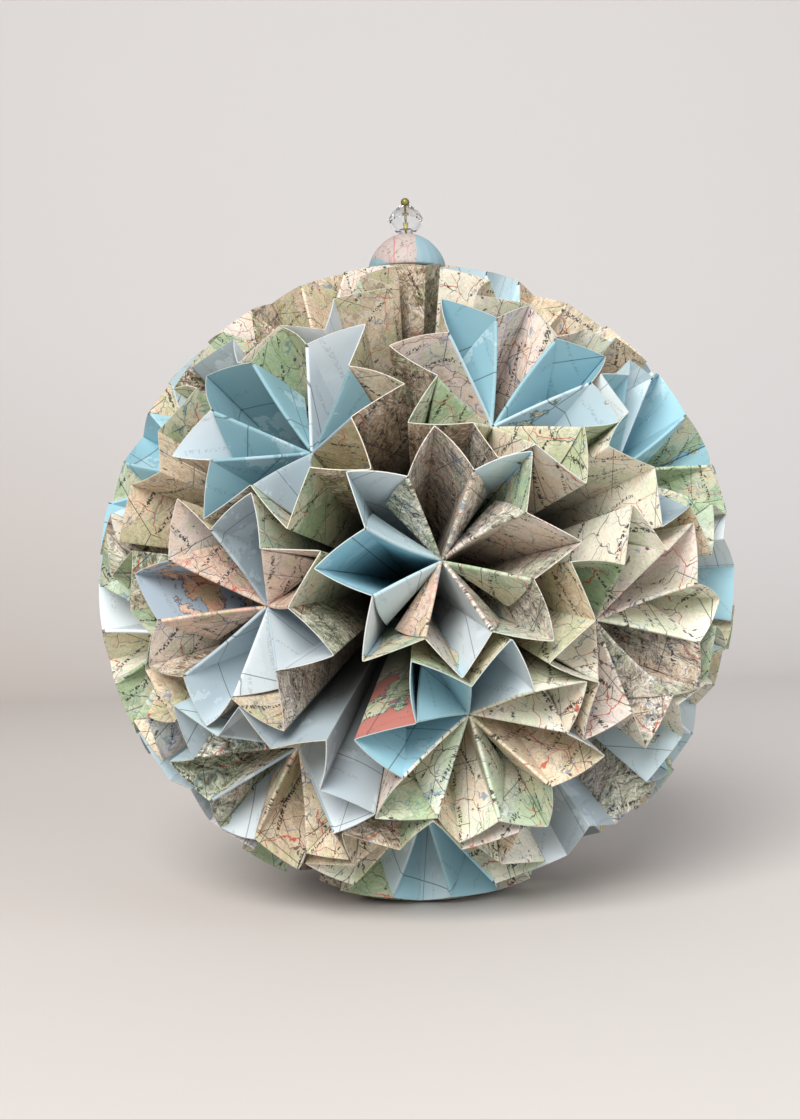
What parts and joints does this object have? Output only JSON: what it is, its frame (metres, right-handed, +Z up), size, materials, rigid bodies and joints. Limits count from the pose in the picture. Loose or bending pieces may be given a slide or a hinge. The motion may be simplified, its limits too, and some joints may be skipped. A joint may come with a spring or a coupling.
{
  "type": "kusudama paper ball",
  "caption": "Decorative ball of star-shaped rosettes, each folded from one round sheet of printed map paper, with a paper-covered cap, a faceted glass bead and a head pin on top.",
  "frame": {"origin": "on the ball's upright axis, at the level of the notch corners of the bottom rosette, on which it stands", "axes": "+Z up through the cap, bead and pin; -Y is the front that the picture shows; +X is the viewer's right"},
  "size_m": [0.2288, 0.2284, 0.2546],
  "materials": {
    "map_paper": "matte printed paper",
    "cap_paper": "matte printed paper",
    "core_paper": "glued paper",
    "bead_glass": "clear cut glass",
    "pin_brass": "antique brass"
  },
  "bodies": {
    "root": {"bead": "bead_glass", "cap": "cap_paper", "core": "core_paper", "pin": "pin_brass", "rosette_centre": "map_paper", "rosette_centre_opposite": "map_paper", "rosette_crown": "map_paper", "rosette_crown_opposite": "map_paper", "rosette_far_right": "map_paper", "rosette_far_right_opposite": "map_paper", "rosette_left": "map_paper", "rosette_left_hip": "map_paper", "rosette_left_hip_opposite": "map_paper", "rosette_left_opposite": "map_paper", "rosette_left_shoulder": "map_paper", "rosette_left_shoulder_opposite": "map_paper", "rosette_left_side": "map_paper", "rosette_left_side_opposite": "map_paper", "rosette_lower": "map_paper", "rosette_lower_left": "map_paper", "rosette_lower_left_opposite": "map_paper", "rosette_lower_opposite": "map_paper", "rosette_right": "map_paper", "rosette_right_hip": "map_paper", "rosette_right_hip_opposite": "map_paper", "rosette_right_opposite": "map_paper", "rosette_right_shoulder": "map_paper", "rosette_right_shoulder_opposite": "map_paper", "rosette_right_side": "map_paper", "rosette_right_side_opposite": "map_paper", "rosette_top_left": "map_paper", "rosette_top_left_opposite": "map_paper", "rosette_top_right": "map_paper", "rosette_top_right_opposite": "map_paper", "rosette_underside": "map_paper", "rosette_underside_opposite": "map_paper", "rosette_upper_left": "map_paper", "rosette_upper_left_opposite": "map_paper", "rosette_upper_right": "map_paper", "rosette_upper_right_opposite": "map_paper"}
  },
  "joints": []
}
